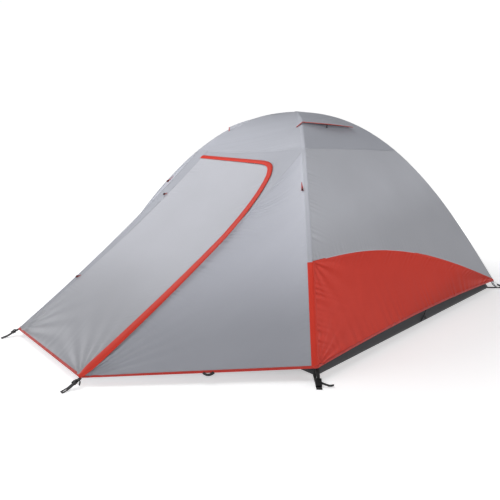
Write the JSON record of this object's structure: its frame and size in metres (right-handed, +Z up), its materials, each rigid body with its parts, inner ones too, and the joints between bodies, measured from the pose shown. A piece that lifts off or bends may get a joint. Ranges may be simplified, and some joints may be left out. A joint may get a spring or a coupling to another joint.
{
  "type": "dome tent",
  "caption": "Double-wall dome tent: two crossed poles, a net-roofed inner room on a tub floor, and a fly that reaches out into a porch at the front and back.",
  "frame": {"origin": "centre of the floor, on the ground", "axes": "+Z up; +Y runs from the front porch to the back porch, so the front porch is on -Y; +X is the tent's right side seen from the front"},
  "size_m": [2.302, 3.904, 1.2955],
  "materials": {
    "fly_cloth": "coated polyester, soft sheen",
    "red_cloth": "coated polyester, soft sheen",
    "floor_cloth": "coated nylon",
    "inner_cloth": "breathable polyester, matt",
    "net": "fine mesh",
    "cord": "woven elastic",
    "pole": "anodised",
    "webbing": "woven nylon",
    "plastic": "moulded acetal"
  },
  "bodies": {
    "tent": {"back_door_surround": "fly_cloth", "back_gusset_left": "fly_cloth", "back_gusset_right": "fly_cloth", "back_stake_strap_left": "webbing", "back_stake_strap_right": "webbing", "corner_anchor_back_left": "webbing", "corner_anchor_back_right": "webbing", "corner_anchor_front_left": "webbing", "corner_anchor_front_right": "webbing", "crossing_hook": "plastic", "floor_tub": "floor_cloth", "fly_roof": "fly_cloth", "front_door_surround": "fly_cloth", "front_gusset_left": "fly_cloth", "front_gusset_right": "fly_cloth", "front_stake_strap_left": "webbing", "front_stake_strap_right": "webbing", "inner_roof_net": "net", "inner_wall_back": "inner_cloth", "inner_wall_front": "inner_cloth", "inner_wall_left": "inner_cloth", "inner_wall_right": "inner_cloth", "left_end_panel": "fly_cloth", "left_end_skirt": "red_cloth", "pole_a_segment_1": "pole", "pole_a_segment_2": "pole", "pole_a_segment_3": "pole", "pole_a_segment_4": "pole", "pole_a_segment_5": "pole", "pole_a_segment_6": "pole", "pole_a_segment_7": "pole", "pole_a_segment_8": "pole", "pole_a_shock_cord": "cord", "pole_b_segment_1": "pole", "pole_b_segment_2": "pole", "pole_b_segment_3": "pole", "pole_b_segment_4": "pole", "pole_b_segment_5": "pole", "pole_b_segment_6": "pole", "pole_b_segment_7": "pole", "pole_b_segment_8": "pole", "pole_b_shock_cord": "cord", "right_end_panel": "fly_cloth", "right_end_skirt": "red_cloth"},
    "front_door": {"front_door_panel": "fly_cloth", "front_door_storm_flap": "red_cloth"},
    "front_slider": {"front_zip_slider": "plastic"},
    "inner_front_door": {"inner_door_front": "net"},
    "back_door": {"back_door_panel": "fly_cloth", "back_door_storm_flap": "red_cloth"},
    "back_slider": {"back_zip_slider": "plastic"},
    "inner_back_door": {"inner_door_back": "net"},
    "right_hood": {"right_vent_hood": "fly_cloth"},
    "right_prop": {"right_vent_prop": "plastic"},
    "left_hood": {"left_vent_hood": "fly_cloth"},
    "left_prop": {"left_vent_prop": "plastic"},
    "plug_front_right": {"buckle_plug_front_right": "plastic"},
    "plug_back_right": {"buckle_plug_back_right": "plastic"},
    "plug_back_left": {"buckle_plug_back_left": "plastic"},
    "plug_front_left": {"buckle_plug_front_left": "plastic"}
  },
  "joints": [
    {"name": "front_door_hinge", "type": "hinge", "parent": "tent", "child": "front_door", "pos_m": [-0.385, -0.50184, 1.034], "axis": [0, -0.809, -0.5878], "range_deg": [0, 100]},
    {"name": "front_zip_slide", "type": "slide", "parent": "tent", "child": "front_slider", "axis": [0.0583, 0.823, 0.565], "range_m": [0, 0.72]},
    {"name": "inner_front_door_hinge", "type": "hinge", "parent": "tent", "child": "inner_front_door", "pos_m": [0, -0.94799, 0.199], "axis": [-1, 0, 0], "range_deg": [0, 58]},
    {"name": "back_door_hinge", "type": "hinge", "parent": "tent", "child": "back_door", "pos_m": [0.385, 0.50184, 1.034], "axis": [0, 0.809, -0.5878], "range_deg": [0, 100]},
    {"name": "back_zip_slide", "type": "slide", "parent": "tent", "child": "back_slider", "axis": [-0.0583, -0.823, 0.565], "range_m": [0, 0.72]},
    {"name": "inner_back_door_hinge", "type": "hinge", "parent": "tent", "child": "inner_back_door", "pos_m": [0, 0.94799, 0.199], "axis": [1, 0, 0], "range_deg": [0, 58]},
    {"name": "right_hood_hinge", "type": "hinge", "parent": "tent", "child": "right_hood", "pos_m": [0.24848, 0, 1.244], "axis": [0, 1, 0], "range_deg": [0, 4]},
    {"name": "right_prop_fold", "type": "hinge", "parent": "right_hood", "child": "right_prop", "pos_m": [0.36293, 0, 1.18842], "axis": [0, -1, 0], "range_deg": [0, 60]},
    {"name": "left_hood_hinge", "type": "hinge", "parent": "tent", "child": "left_hood", "pos_m": [-0.24848, 0, 1.244], "axis": [0, -1, 0], "range_deg": [0, 4]},
    {"name": "left_prop_fold", "type": "hinge", "parent": "left_hood", "child": "left_prop", "pos_m": [-0.36293, 0, 1.18842], "axis": [0, 1, 0], "range_deg": [0, 60]},
    {"name": "plug_slide_front_right", "type": "slide", "parent": "tent", "child": "plug_front_right", "axis": [-0.5991, 0.5991, 0.5312], "range_m": [0, 0.024]},
    {"name": "plug_slide_back_right", "type": "slide", "parent": "tent", "child": "plug_back_right", "axis": [-0.5991, -0.5991, 0.5312], "range_m": [0, 0.024]},
    {"name": "plug_slide_back_left", "type": "slide", "parent": "tent", "child": "plug_back_left", "axis": [0.5991, -0.5991, 0.5312], "range_m": [0, 0.024]},
    {"name": "plug_slide_front_left", "type": "slide", "parent": "tent", "child": "plug_front_left", "axis": [0.5991, 0.5991, 0.5312], "range_m": [0, 0.024]}
  ],
  "couplings": [
    {"joint": "right_prop_fold", "follows": "right_hood_hinge", "ratio": 15},
    {"joint": "left_prop_fold", "follows": "left_hood_hinge", "ratio": 15}
  ]
}
